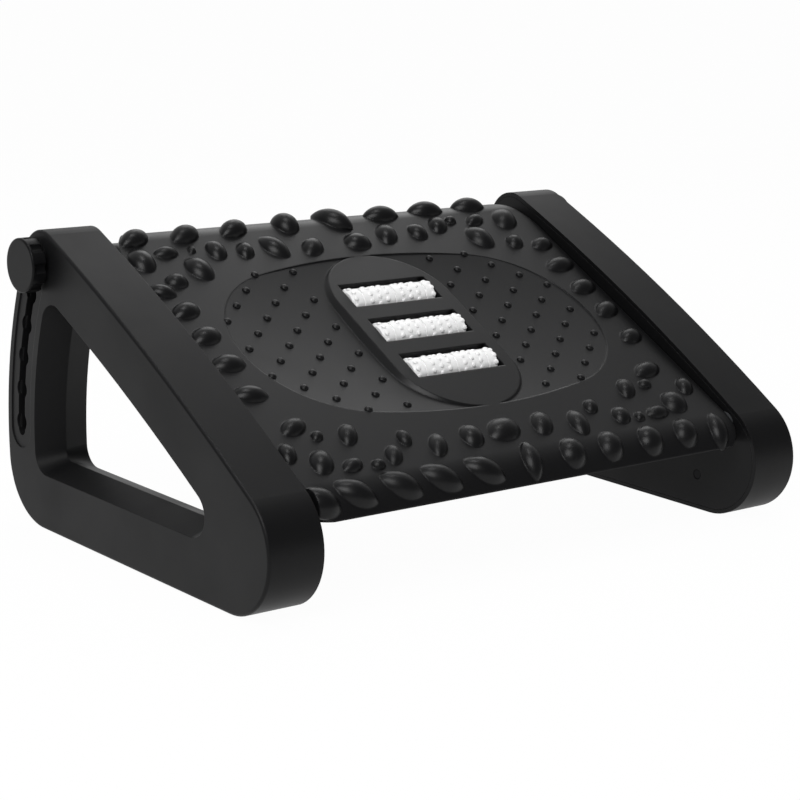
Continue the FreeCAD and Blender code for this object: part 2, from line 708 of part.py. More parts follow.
def dish_tool():
    # A shallow bowl, trimmed by the dish outline and kept off the roller pad.
    depth = 60.0
    lift = depth - size("dish_fall")
    spread = 1.1 / math.sqrt(1 - (lift / depth) ** 2)
    scale = FreeCAD.Matrix()
    scale.scale(size("dish_half_width") * spread, size("dish_half_depth") * spread, depth)
    bowl = Part.makeSphere(1, V(0, 0, 0), V(0, 0, 1), -90, 0, 360).transformGeometry(scale)
    bowl.translate(V(0, size("dish_s"), lift))
    tall = size("dish_fall") + 1
    pad = Part.makeLoft(
        [
            stadium(size("pad_half_width") - 1, size("pad_half_length") - 1, 1),
            stadium(size("pad_half_width") + tall, size("pad_half_length") + tall, -tall),
        ],
        True,
        True,
    )
    return bowl.common(oval(0, -tall, 1)).cut(pad)


ROLLER_SPOTS = [size("roller_s") + step * size("roller_pitch") for step in (1, 0, -1)]
window_half = size("roller_radius") + size("window_gap")
window_end = size("roller_length") / 2 + size("window_end")
cradle_front = ROLLER_SPOTS[2] - window_half - 0.7
cradle_rear = ROLLER_SPOTS[0] + window_half + 0.7
CRADLE_SCREWS = [(x, s) for x in (-30, 30) for s in (cradle_front - 8, cradle_rear + 8)]

# Raised pebbles: place across, place along, length, width, turn of the long side.
PEBBLES = [
    (-175, -162, 26, 20, 150), (-148, -160, 29, 18, 148), (-113, -160, 29, 18, 148),
    (-81, -160, 29, 18, 148), (-46, -160, 29, 18, 148), (-6, -159, 27, 15, 78), (30, -159, 23, 20, 60),
    (64, -159, 23, 19, 60), (100, -160, 23, 20, 60), (134, -159, 23, 19, 60), (164, -162, 27, 15, 78),
    (-162, 104, 27, 16, 25), (-122, 104, 27, 17, 25), (-81, 106, 27, 17, 25), (-36, 108, 25, 20, 80),
    (6, 109, 32, 20, 118), (50, 109, 30, 18, 175), (93, 111, 30, 18, 172), (135, 112, 29, 18, 172),
    (-172, 46, 20, 13, 150), (167, 56, 21, 14, 15), (-166, 24, 23, 16, 20), (165, 30, 29, 16, 10),
    (-166, -3, 24, 17, 20), (166, 2, 27, 16, 15), (-166, -32, 25, 17, 0), (167, -26, 26, 16, 25),
    (-168, -63, 25, 16, 170), (165, -58, 22, 15, 20), (-169, 80, 26, 19, 85), (-147, 86, 19, 12, 0),
    (-126, 87, 9, 6, 60), (-108, 84, 22, 15, 80), (-86, 81, 19, 13, 70), (-61, 82, 27, 18, 110),
    (-31, 78, 23, 16, 45), (9, 79, 22, 19, 0), (39, 85, 26, 17, 65), (67, 84, 19, 15, 90),
    (90, 90, 21, 15, 60), (105, 94, 9, 9, 0), (127, 92, 20, 12, 25), (155, 90, 27, 20, 55),
    (-132, 66, 26, 19, 100), (-156, 55, 17, 15, 0), (117, 71, 27, 20, 100), (144, 62, 17, 14, 60),
    (-157, -98, 23, 14, 25), (-146, -109, 11, 8, 45), (-124, -112, 22, 13, 60), (-175, -120, 20, 12, 70),
    (-157, -132, 24, 16, 60), (-138, -139, 18, 11, 20), (-120, -142, 10, 9, 0), (-104, -136, 20, 12, 60),
    (-87, -123, 16, 10, 80), (-67, -134, 24, 13, 60), (-37, -131, 22, 17, 70), (-9, -130, 29, 21, 20),
    (24, -130, 25, 16, 60), (53, -135, 26, 15, 75), (74, -122, 15, 11, 60), (92, -135, 18, 14, 60),
    (106, -139, 10, 8, 60), (124, -138, 20, 12, 0), (146, -131, 23, 20, 60), (117, -110, 22, 14, 60),
    (136, -109, 11, 9, 0), (150, -95, 27, 15, 15), (168, -117, 20, 13, 60),
]


def pebble(x, s, length, width, lean):
    # A smooth cap turned from one arc; on the lip and on the rear edge it leans with them.
    tall = min(2.2 + 0.2 * width, 0.42 * width) + (1.5 if s > heel_s else 0)
    girth = (width ** 2 / 4 + tall ** 2) / (2 * tall)
    reach = (length ** 2 / 4 + tall ** 2) / (2 * tall)
    axis = tall - girth
    low = max(-1.2, 0.8 * axis)
    half = math.sqrt(reach ** 2 - (reach - tall + low) ** 2)
    edges = [
        Part.Arc(V(-half, 0, low), V(0, 0, tall), V(half, 0, low)).toShape(),
        Part.LineSegment(V(half, 0, low), V(half, 0, axis)).toShape(),
        Part.LineSegment(V(half, 0, axis), V(-half, 0, axis)).toShape(),
        Part.LineSegment(V(-half, 0, axis), V(-half, 0, low)).toShape(),
    ]
    egg = Part.Face(Part.Wire(edges)).revolve(V(0, 0, axis), V(1, 0, 0), 360)
    egg = egg.common(Part.makeBox(2 * length, 2 * length, tall - low + 1, V(-length, -length, low)))
    drop = 0
    tip = 0
    if s < lip_s:
        tip = math.degrees(math.asin((lip_s - s) / lip_r))
        drop = lip_r - math.sqrt(lip_r ** 2 - (lip_s - s) ** 2)
    if s > heel_s:
        tip = -math.degrees(math.asin((s - heel_s) / heel_r))
        drop = heel_r - math.sqrt(heel_r ** 2 - (s - heel_s) ** 2)
    if tip:
        # A short root below the cap fills the gap to the curved skin.
        sole = [face for face in egg.Faces if face.BoundBox.ZMax < low + 0.01]
        egg = egg.fuse([face.extrude(V(0, 0, -2.9 - low)) for face in sole])
    egg.rotate(V(0, 0, 0), V(0, 0, 1), lean)
    egg.rotate(V(0, 0, 0), V(1, 0, 0), tip)
    egg.translate(V(x, s, -drop))
    return egg


def deck_shape():
    front = lip_spot(lip_r, 1)[0]
    corner = size("front_corner")
    heel_corner = size("rear_corner")
    tall = 2.5 * size("heel_depth")
    body = prism(swept_side(-half_width - 1, 0), 2 * half_width + 2)
    body = body.common(plan_block(half_width, front - 1, rear_s + 1, corner, heel_corner, -tall, 20))
    hollow = prism(swept_side(-half_width, wall), 2 * half_width)
    inner = plan_block(
        half_width - wall, front + 1, rear_s + 1 - wall, corner - wall, heel_corner - wall, -tall, 20
    )
    hollow = hollow.common(inner)
    shell = body.cut(hollow)
    add = [oval(wall, slab_n, -wall / 2)]
    rib = size("rib_thick")
    grid = []
    for x in (-122, -62, 62, 122):
        grid.append(Part.makeBox(rib, 2 * rear_s + 90, 15, V(x - rib / 2, lip_s - 8, -16)))
    for s in (-122, 76):
        grid.append(Part.makeBox(2 * half_width, rib, 15, V(-half_width, s - rib / 2, -16)))
    skin = prism(swept_side(-half_width, wall / 2), 2 * half_width)
    keep = plan_block(
        half_width - 1, front + 1, rear_s - 1, corner - 1, heel_corner - 1, -tall, 20
    )
    low_skin = prism(swept_side(-half_width, 0), 2 * half_width)
    add += [piece.common(skin).common(low_skin).common(keep) for piece in grid]
    boss = size("pin_radius") + size("bush_wall") + 2.5
    nut_x = inner_x - 27
    bosses = []
    for side in (-1, 1):
        inner_end = side * (half_width - size("bush_length") - 2)
        add.append(rod(boss, inner_end, side * half_width, size("pivot_s"), size("pivot_n")))
        bosses.append(rod(9.4, side * nut_x, side * (inner_x - size("run_gap")), arm_s, arm_n))
        low_x = nut_x if side > 0 else -half_width + 20
        web = Part.makeBox(half_width - 20 - nut_x, 3, -arm_n - wall, V(low_x, arm_s - 1.5, arm_n))
        add.append(web.common(skin))
    shell = shell.fuse(add + [pebble(*spot) for spot in PEBBLES])
    trim = plan_block(half_width, front - 9, rear_s + 9, corner, heel_corner, -tall, 20)
    shell = shell.common(trim).fuse(bosses)
    cuts = [dish_tool()]
    for s in ROLLER_SPOTS:
        cuts.append(Part.makeBox(2 * window_end, 2 * window_half, 20, V(-window_end, s - window_half, -12)))
        length = size("axle_length") / 2 + 0.1
        cuts.append(rod(size("axle_radius") + size("fit_gap"), -length, length, s, -size("roller_drop")))
    for x, s in CRADLE_SCREWS:
        cuts.append(Part.makeCylinder(1.5, -slab_n - 2.5, V(x, s, slab_n), V(0, 0, 1)))
    socket = size("pin_radius") + size("bush_wall") + 0.02
    for side in (-1, 1):
        inner_end = side * (half_width - size("bush_length") - 3)
        cuts.append(rod(socket, inner_end, side * (half_width + 1), size("pivot_s"), size("pivot_n")))
        cuts.append(rod(size("neck_half"), side * (nut_x - 1), side * (inner_x + 1), arm_s, arm_n))
        pocket = Part.Wire(Part.makePolygon(hex_spots(side * (nut_x - 1))))
        cuts.append(Part.Face(pocket).extrude(V(side * (size("nut_thick") + 1.3), 0, 0)))
    return shell.cut(cuts).removeSplitter()


def hex_spots(x):
    reach = (size("nut_across") / 2 + 0.1) / math.cos(math.radians(30))
    spots = []
    for step in range(7):
        a = math.radians(60 * step)
        spots.append(V(x, arm_s + reach * math.sin(a), arm_n + reach * math.cos(a)))
    return spots


def cradle_shape():
    # A tub under the pad: flange, walls with half-round axle seats, and two cross ribs.
    flange_x = window_end + 8
    flange = Part.makeBox(
        2 * flange_x, cradle_rear - cradle_front + 30, 2.5, V(-flange_x, cradle_front - 15, slab_n - 2.5)
    )
    uprights = [edge for edge in flange.Edges if edge.BoundBox.ZLength > 2]
    flange = flange.makeFillet(6, uprights)
    thick = size("tub_wall")
    floor_n = -size("roller_drop") - size("roller_radius") - 1.8
    tub = Part.makeBox(
        2 * (window_end + thick),
        cradle_rear - cradle_front + 2 * thick,
        slab_n - floor_n + thick,
        V(-window_end - thick, cradle_front - thick, floor_n - thick),
    )
    tub = tub.makeFillet(3, [edge for edge in tub.Edges if edge.BoundBox.ZLength > 5])
    room = Part.makeBox(
        2 * window_end, cradle_rear - cradle_front, 40, V(-window_end, cradle_front, floor_n)
    )
    cradle = flange.fuse(tub).cut(room)
    ribs = []
    for first, second in zip(ROLLER_SPOTS, ROLLER_SPOTS[1:]):
        middle = (first + second) / 2
        ribs.append(Part.makeBox(2 * window_end + 1, 2, slab_n - floor_n, V(-window_end - 0.5, middle - 1, floor_n)))
    cradle = cradle.fuse(ribs)
    cuts = []
    length = size("axle_length") / 2 + 0.1
    for s in ROLLER_SPOTS:
        cuts.append(rod(size("axle_radius") + size("fit_gap"), -length, length, s, -size("roller_drop")))
    for x, s in CRADLE_SCREWS:
        cuts.append(Part.makeCylinder(1.7, 10, V(x, s, slab_n - 6), V(0, 0, 1)))
    return cradle.cut(cuts).removeSplitter()


def lay_on_deck(obj):
    a = math.radians(size("deck_angle"))
    s = size("pivot_s")
    n = size("pivot_n")
    base = V(0, pivot[0] - s * math.cos(a) + n * math.sin(a), pivot[1] - s * math.sin(a) - n * math.cos(a))
    obj.Placement = FreeCAD.Placement(base, FreeCAD.Rotation(V(1, 0, 0), size("deck_angle")))


deck = feature("deck_board", deck_shape())
lay_on_deck(deck)
cradle = feature("roller_cradle", cradle_shape())
lay_on_deck(cradle)
fixings = []
for x, s in CRADLE_SCREWS:
    head = Part.makeCylinder(3.2, 1.8, V(x, s, slab_n - 4.3), V(0, 0, 1))
    fixings.append(head.fuse(Part.makeCylinder(1.45, 7.6, V(x, s, slab_n - 2.6), V(0, 0, 1))).removeSplitter())
cradle_screws = feature("cradle_screws", Part.makeCompound(fixings))
lay_on_deck(cradle_screws)
parts += [deck, cradle, cradle_screws]

doc.recompute()
for obj in doc.Objects:
    if "Invalid" in obj.State or "Error" in obj.State:
        raise RuntimeError("%s failed: %s" % (obj.Label, obj.State))
os.makedirs("parts", exist_ok=True)
for part in parts:
    shape = part.Shape
    if shape.isNull() or not shape.isValid():
        raise RuntimeError("%s has no valid shape" % part.Label)
    print(part.Label, len(shape.Solids), round(shape.Volume), "mm3")
    shape.exportStep("parts/%s.step" % part.Label)
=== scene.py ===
"""Looks of a tilting under-desk footrest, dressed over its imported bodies.

Two moulded side frames carry a studded deck that tilts on hinge pins near its front
edge. Three nubbed massage rollers sit in the deck, and a scalloped knob on each side
clamps the deck in an arc slot. Sizes in the classes are millimetres; meshes are metres.
"""

from __future__ import annotations

import logging
import math
from dataclasses import dataclass, field
from enum import Enum
from typing import Iterable, Sequence

import bpy
import numpy as np
from mathutils import Matrix, Vector


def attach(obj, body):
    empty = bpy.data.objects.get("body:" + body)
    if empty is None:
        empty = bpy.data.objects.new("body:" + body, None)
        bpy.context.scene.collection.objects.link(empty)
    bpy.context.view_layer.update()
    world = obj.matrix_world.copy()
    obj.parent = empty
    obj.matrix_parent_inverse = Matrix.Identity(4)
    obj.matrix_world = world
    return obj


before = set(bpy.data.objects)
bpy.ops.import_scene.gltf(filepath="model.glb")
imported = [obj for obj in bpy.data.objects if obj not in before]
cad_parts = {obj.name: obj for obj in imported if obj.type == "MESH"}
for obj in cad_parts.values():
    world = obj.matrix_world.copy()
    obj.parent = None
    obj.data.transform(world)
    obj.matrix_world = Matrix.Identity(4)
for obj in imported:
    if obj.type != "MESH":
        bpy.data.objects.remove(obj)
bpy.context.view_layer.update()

logging.basicConfig(level=logging.INFO, format="%(name)s: %(message)s")
log = logging.getLogger("footrest")

MM = 0.001


class Side(Enum):
    """The two mirrored sides of the footrest."""

    LEFT = -1
    RIGHT = 1

    @property
    def word(self) -> str:
        """Name used in the node names."""
        return self.name.lower()


class Roller(Enum):
    """The three rollers, by their step along the deck."""

    FRONT = -1
    MIDDLE = 0
    REAR = 1

    @property
    def word(self) -> str:
        """Name used in the node names."""
        return self.name.lower()


def linear(code: str) -> tuple[float, float, float, float]:
    """Turns an sRGB hex colour into a linear colour.

    Args:
        code: colour such as "#2b2b2c".

    Returns:
        Linear red, green, blue and an alpha of one.
    """
    values = [int(code[i : i + 2], 16) / 255 for i in (1, 3, 5)]
    shades = [v / 12.92 if v <= 0.04045 else ((v + 0.055) / 1.055) ** 2.4 for v in values]
    return (shades[0], shades[1], shades[2], 1.0)


def add(
    tree: bpy.types.NodeTree, kind: str, links: dict | None = None, **settings: object
) -> bpy.types.Node:
    """Adds a node with its settings and links.

    Args:
        tree: node tree that gets the node.
        kind: node type, such as "ShaderNodeBump".
        links: input name or number to an output socket or a plain value.
        **settings: attributes of the node.

    Returns:
        The new node.
    """
    node = tree.nodes.new(kind)
    for name, value in settings.items():
        setattr(node, name, value)
    for key, value in (links or {}).items():
        socket = node.inputs[key]
        if isinstance(value, bpy.types.NodeSocket):
            tree.links.new(value, socket)
        else:
            socket.default_value = value
    return node


# Finishes ---------------------------------------------------------------------------


# Patches of melt flow, counted over a metre: about 70 mm across.
FLOW_SCALE = 14.0


@dataclass(frozen=True)
class MouldedPlastic:
    """Injection-moulded plastic with a spark-eroded grain from the mould.

    The grain breaks the reflections into a soft satin sheen, and slow changes in
    roughness show where the melt cooled against the steel.
    """

    name: str
    colour: str
    roughness: float = 0.42
    roughness_play: float = 0.06
    grain_mm: float = 0.55
    grain_height_mm: float = 0.012
    edge_mm: float = 0.6
    specular: float = 0.5

    def material(self) -> bpy.types.Material:
        """Builds the material."""
        made = bpy.data.materials.new(self.name)
        made.use_nodes = True
        tree = made.node_tree
        tree.nodes.clear()
        where = add(tree, "ShaderNodeTexCoord").outputs["Object"]
        fine = 1 / (self.grain_mm * MM)
        grain = add(tree, "ShaderNodeTexNoise", {"Vector": where, "Scale": fine, "Detail": 2.0}).outputs["Fac"]
        slow = {"Vector": where, "Scale": FLOW_SCALE, "Detail": 3.0}
        flow = add(tree, "ShaderNodeTexNoise", slow).outputs["Fac"]
        rough = add(
            tree,
            "ShaderNodeMapRange",
            {
                "Value": flow,
                "From Min": 0.3,
                "From Max": 0.7,
                "To Min": self.roughness - self.roughness_play,
                "To Max": self.roughness + self.roughness_play,
            },
        ).outputs["Result"]
        bevel = add(tree, "ShaderNodeBevel", {"Radius": self.edge_mm * MM}, samples=6)
        bump = add(
            tree,
            "ShaderNodeBump",
            {
                "Height": grain,
                "Distance": self.grain_height_mm * MM,
                "Strength": 1.0,
                "Normal": bevel.outputs["Normal"],
            },
        ).outputs["Normal"]
        shader = add(
            tree,
            "ShaderNodeBsdfPrincipled",
            {
                "Base Color": linear(self.colour),
                "Roughness": rough,
                "IOR": 1.49,
                "Specular IOR Level": self.specular,
                "Normal": bump,
            },
        ).outputs["BSDF"]
        add(tree, "ShaderNodeOutputMaterial", {"Surface": shader})
        return made


# One wave of the ring pattern for each full turn of its angle.
RING_TURN = 6.28


@dataclass(frozen=True)
class PlatedSteel:
    """Turned and plated steel: fine turning rings stretch the highlights along the piece."""

    name: str
    colour: str = "#b9bbbd"
    roughness: float = 0.34
    line_mm: float = 0.3
    line_height_mm: float = 0.01

    def material(self) -> bpy.types.Material:
        """Builds the material."""
        made = bpy.data.materials.new(self.name)
        made.use_nodes = True
        tree = made.node_tree
        tree.nodes.clear()
        where = add(tree, "ShaderNodeTexCoord").outputs["Object"]
        rings = add(
            tree,
            "ShaderNodeTexWave",
            {"Vector": where, "Scale": 1 / (self.line_mm * MM) / RING_TURN, "Distortion": 1.5, "Detail": 1.0},
            bands_direction="X",
        ).outputs["Fac"]
        bump = add(
            tree, "ShaderNodeBump", {"Height": rings, "Distance": self.line_height_mm * MM, "Strength": 0.6}
        ).outputs["Normal"]
        shader = add(
            tree,
            "ShaderNodeBsdfPrincipled",
            {"Base Color": linear(self.colour), "Metallic": 1.0, "Roughness": self.roughness, "Normal": bump},
        ).outputs["BSDF"]
        add(tree, "ShaderNodeOutputMaterial", {"Surface": shader})
        return made


# Satin black polypropylene of the frames: a grain of about half a millimetre, drawn as it is.
FRAME_BLACK = MouldedPlastic("polypropylene_frame_black", "#101011", roughness=0.46, specular=0.16)
# The deck comes from a smoother mould with soft fillets, so its dish and pebbles catch highlights.
DECK_BLACK = MouldedPlastic(
    "polypropylene_deck_black", "#111112", roughness=0.34, grain_height_mm=0.007, edge_mm=1.6, specular=0.2
)
# Moulded polyamide of the knobs: deep black, with a fine grain that keeps the scallops crisp.
KNOB_BLACK = MouldedPlastic(
    "polyamide_knob_black", "#0d0d0e", roughness=0.36, grain_height_mm=0.006, specular=0.12
)
# The roller tub is left as it leaves the mould: dull, so it stays dark in its windows.
CRADLE_BLACK = MouldedPlastic("polypropylene_cradle_black", "#131314", roughness=0.55, specular=0.3)
# Moulded acetal: smooth and slightly waxy, a dark grey ring beside the black deck.
BUSH_GREY = MouldedPlastic("acetal_bush_grey", "#3c3d3f", roughness=0.38, grain_height_mm=0.004)
# Moulded white rollers: semi-gloss, with small soft highlights on every nub.
ROLLER_WHITE = MouldedPlastic(
    "abs_roller_white", "#f6f6f6", roughness=0.34, grain_mm=0.4, grain_height_mm=0.004, edge_mm=0.5
)
# Compression-moulded rubber: matt, with a coarser grain.
FOOT_RUBBER = MouldedPlastic("rubber_foot_black", "#171717", roughness=0.8, grain_mm=0.8, grain_height_mm=0.03)
# Bright zinc plate: light grey with a soft streak along each pin, axle and stud.
ZINC_STEEL = PlatedSteel("zinc_plated_steel")
# Black-oxide screws: the dark oxide hides them against the frame, with a dull metal sheen.
BLACK_STEEL = PlatedSteel("black_oxide_steel", "#1c1c1d", roughness=0.5)


class Paint:
    """Keeps one material for each finish."""

    def __init__(self) -> None:
        """Starts with no materials."""
        self.made: dict[str, bpy.types.Material] = {}

    def get(self, finish: MouldedPlastic | PlatedSteel) -> bpy.types.Material:
        """Returns the finish's material, built once."""
        if finish.name not in self.made:
            self.made[finish.name] = finish.material()
        return self.made[finish.name]

    def dress(self, finish: MouldedPlastic | PlatedSteel, nodes: Iterable[str]) -> None:
        """Gives solid nodes the finish.

        Args:
            finish: what they are made of.
            nodes: their names.
        """
        for node in nodes:
            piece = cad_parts[node]
            piece.data.materials.clear()
            piece.data.materials.append(self.get(finish))
            log.info("%s wears %s", node, finish.name)


# Places on the deck -----------------------------------------------------------------


@dataclass
class DeckPlane:
    """The deck's own directions: x across, s up the slope and n square to the deck."""

    pivot_y: float = -126.55
    pivot_z: float = 68.0
    pivot_s: float = -150.0
    pivot_n: float = -9.5
    slope: float = 28.0

    @property
    def turn(self) -> Matrix:
        """Rotation from the flat deck to its steepest setting."""
        return Matrix.Rotation(math.radians(self.slope), 4, "X")

    @property
    def matrix(self) -> Matrix:
        """Places a mesh drawn flat, in metres, on the deck."""
        centre = Matrix.Translation(Vector((0, self.pivot_y, self.pivot_z)) * MM)
        return centre @ self.turn @ Matrix.Translation(Vector((0, -self.pivot_s, -self.pivot_n)) * MM)

    def place(self, x: float, s: float, n: float) -> Vector:
        """Returns a place on the deck in metres."""
        return self.matrix @ (Vector((x, s, n)) * MM)


def plain_mesh(name: str, points: np.ndarray, faces: Sequence[Sequence[int]]) -> bpy.types.Object:
    """Makes an object from points in metres and faces.

    Args:
        name: piece name.
        points: rows of x, y and z.
        faces: corner numbers of each face.

    Returns:
        The new object, linked to the scene.
    """
    mesh = bpy.data.meshes.new(name)
    mesh.from_pydata([tuple(map(float, p)) for p in points], [], [tuple(f) for f in faces])
    mesh.update()
    piece = bpy.data.objects.new(name, mesh)
    bpy.context.scene.collection.objects.link(piece)
    return piece


def baked(seed: bpy.types.Object, tree: bpy.types.NodeTree, name: str, **sizes: float) -> bpy.types.Object:
    """Runs a geometry node tree on an object and keeps the result as a plain mesh.

    Args:
        seed: object that the tree starts from; it is removed.
        tree: geometry node tree.
        name: name of the piece that is kept.
        **sizes: values of the tree's inputs, by name with spaces as underscores.

    Returns:
        The plain mesh object.
    """
    modifier = seed.modifiers.new("build", "NODES")
    modifier.node_group = tree
    items = [item for item in tree.interface.items_tree if item.item_type == "SOCKET"]
    sockets = {item.name: item.identifier for item in items}
    for key, value in sizes.items():
        modifier[sockets[key.replace("_", " ")]] = value
    bpy.context.view_layer.update()
    ready = seed.evaluated_get(bpy.context.evaluated_depsgraph_get())
    mesh = bpy.data.meshes.new_from_object(ready)
    mesh.name = name
    piece = bpy.data.objects.new(name, mesh)
    bpy.context.scene.collection.objects.link(piece)
    bpy.data.objects.remove(seed)
    return piece


def new_tree(
    name: str, inputs: dict[str, float]
) -> tuple[bpy.types.NodeTree, bpy.types.Node, bpy.types.Node]:
    """Starts a geometry node tree.

    Args:
        name: tree name.
        inputs: size names with their usual values.

    Returns:
        The tree, its input node and its output node.
    """
    tree = bpy.data.node_groups.new(name, "GeometryNodeTree")
    tree.interface.new_socket("Geometry", in_out="INPUT", socket_type="NodeSocketGeometry")
    for key, value in inputs.items():
        socket = tree.interface.new_socket(key, in_out="INPUT", socket_type="NodeSocketFloat")
        socket.default_value = value
    tree.interface.new_socket("Geometry", in_out="OUTPUT", socket_type="NodeSocketGeometry")
    return tree, add(tree, "NodeGroupInput"), add(tree, "NodeGroupOutput")


def close_tree(
    tree: bpy.types.NodeTree,
    exit_node: bpy.types.Node,
    shape: bpy.types.NodeSocket,
    material: bpy.types.Material,
) -> None:
    """Ends a tree: real instances, smooth shading and a material.

    Args:
        tree: geometry node tree.
        exit_node: its output node.
        shape: what the tree has made.
        material: finish of that shape.
    """
    real = add(tree, "GeometryNodeRealizeInstances", {"Geometry": shape}).outputs["Geometry"]
    smooth = add(tree, "GeometryNodeSetShadeSmooth", {"Geometry": real}).outputs["Geometry"]
    painted = add(tree, "GeometryNodeSetMaterial", {"Geometry": smooth, "Material": material})
    tree.links.new(painted.outputs["Geometry"], exit_node.inputs["Geometry"])


@dataclass
class DeckDots:
    """Small domes moulded over the dish on both sides of the roller pad."""

    plane: DeckPlane
    diameter: float = 5.8
    height: float = 1.9
    shift_x: float = -2.0
    row_pitch: float = 14.6
    middle_s: float = -18.5
    columns: tuple[float, ...] = (60.0, 76.0, 92.0, 107.7, 123.8, 139.7)
    first_rows: tuple[int, ...] = (5, 4, 5, 4, 3, 2)
    dish_s: float = -20.5
    dish_fall: float = 5.0
    dish_half_width: float = 150.0
    dish_half_depth: float = 84.0
    bowl_depth: float = 60.0
    bowl_spread: float = 1.1

    def spots(self) -> list[Vector]:
        """Places of the domes: rows two steps apart, shifted by one in every other column."""
        found = []
        for side in Side:
            for column, rows in zip(self.columns, self.first_rows):
                for row in range(-rows, rows + 1, 2):
                    s = self.middle_s + row * self.row_pitch
                    x = side.value * column + self.shift_x
                    found.append(Vector((x, s, self.floor(x, s))))
        return found

    def floor(self, x: float, s: float) -> float:
        """Depth of the dish floor below the deck plane."""
        lift = self.bowl_depth - self.dish_fall
        reach = self.bowl_spread / math.sqrt(1 - (lift / self.bowl_depth) ** 2)
        across = x / (self.dish_half_width * reach)
        along = (s - self.dish_s) / (self.dish_half_depth * reach)
        return lift - self.bowl_depth * math.sqrt(max(0.0, 1 - (across ** 2 + along ** 2)))

    def build(self, paint: Paint) -> bpy.types.Object:
        """Builds the domes as one piece on the deck."""
        points = np.array([self.plane.matrix @ (spot * MM) for spot in self.spots()])
        seed = plain_mesh("dot_seed", points, [])
        tree, start, finish = new_tree("dots", {"Radius": 0.0025, "Height": 0.0015, "Slope": 0.49})
        ball = add(
            tree, "GeometryNodeMeshUVSphere", {"Segments": 16, "Rings": 8, "Radius": start.outputs["Radius"]}
        ).outputs["Mesh"]
        flat = add(
            tree, "ShaderNodeMath", {0: start.outputs["Height"], 1: start.outputs["Radius"]}, operation="DIVIDE"
        )
        scale = add(tree, "ShaderNodeCombineXYZ", {"X": 1.0, "Y": 1.0, "Z": flat.outputs[0]}).outputs[0]
        turn = add(tree, "ShaderNodeCombineXYZ", {"X": start.outputs["Slope"]}).outputs[0]
        spread = add(
            tree,
            "GeometryNodeInstanceOnPoints",
            {"Points": start.outputs["Geometry"], "Instance": ball, "Rotation": turn, "Scale": scale},
        ).outputs["Instances"]
        close_tree(tree, finish, spread, paint.get(DECK_BLACK))
        piece = baked(
            seed,
            tree,
            "deck_dots",
            Radius=self.diameter / 2 * MM,
            Height=self.height * MM,
            Slope=math.radians(self.plane.slope),
        )
        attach(piece, "deck")
        log.info("deck dots: %d domes", len(points))
        return piece


@dataclass
class RollerNubs:
    """Rows of small massage nubs that stand out of a roller."""

    plane: DeckPlane
    middle_s: float = -17.5
    pitch: float = 39.0
    drop: float = 7.3
    barrel: float = 10.2
    nub_radius: float = 1.9
    nub_flatness: float = 0.42
    around: int = 12
    columns: tuple[float, ...] = (-33.5, -20.5, -13.5, -6.8, 6.8, 13.5, 20.5, 33.5)

    def build(self, paint: Paint, which: Roller) -> bpy.types.Object:
        """Builds one roller's nubs.

        Args:
            paint: finishes.
            which: the roller.

        Returns:
            The nubs as one piece.
        """
        axis = self.plane.place(0, self.middle_s + which.value * self.pitch, -self.drop)
        points = []
        for number, x in enumerate(self.columns):
            for step in range(self.around):
                a = 2 * math.pi * (step + 0.5 * (number % 2)) / self.around
                out_y, out_z = math.cos(a) * self.barrel * MM, math.sin(a) * self.barrel * MM
                points.append((x * MM, axis.y + out_y, axis.z + out_z))
        seed = plain_mesh("nub_seed", np.array(points), [])
        tree, start, finish = new_tree("nubs", {"Radius": 0.0019, "Axis Y": 0.0, "Axis Z": 0.0})
        spot = add(tree, "GeometryNodeInputPosition").outputs[0]
        middle = add(tree, "ShaderNodeCombineXYZ", {"Y": start.outputs["Axis Y"], "Z": start.outputs["Axis Z"]})
        outward = add(tree, "ShaderNodeVectorMath", {0: spot, 1: middle.outputs[0]}, operation="SUBTRACT")
        only_yz = add(
            tree, "ShaderNodeVectorMath", {0: outward.outputs[0], 1: (0.0, 1.0, 1.0)}, operation="MULTIPLY"
        )
        away = {"Vector": only_yz.outputs[0]}
        turn = add(tree, "FunctionNodeAlignRotationToVector", away, axis="Z").outputs[0]
        stub = add(
            tree,
            "GeometryNodeMeshUVSphere",
            {"Segments": 10, "Rings": 6, "Radius": start.outputs["Radius"]},
        ).outputs["Mesh"]
        spread = add(
            tree,
            "GeometryNodeInstanceOnPoints",
            {
                "Points": start.outputs["Geometry"],
                "Instance": stub,
                "Rotation": turn,
                "Scale": (1.0, 1.0, self.nub_flatness),
            },
        ).outputs["Instances"]
        close_tree(tree, finish, spread, paint.get(ROLLER_WHITE))
        radius = self.nub_radius * MM
        piece = baked(seed, tree, "nubs_" + which.word, Radius=radius, Axis_Y=axis.y, Axis_Z=axis.z)
        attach(piece, which.word + "_roller")
        log.info("%s roller: %d nubs", which.word, len(points))
        return piece


@dataclass
class Frames:
    """Side frames with their covers, feet and fixings."""

    def build(self, paint: Paint) -> None:
        """Dresses the frames.

        Args:
            paint: finishes.
        """
        shells = [part + side.word for side in Side for part in ("frame_shell_", "frame_cover_")]
        paint.dress(FRAME_BLACK, shells)
        paint.dress(FOOT_RUBBER, ["rubber_feet"])
        paint.dress(BLACK_STEEL, ["cover_screws"])
        paint.dress(ZINC_STEEL, ["hinge_pin_" + side.word for side in Side])


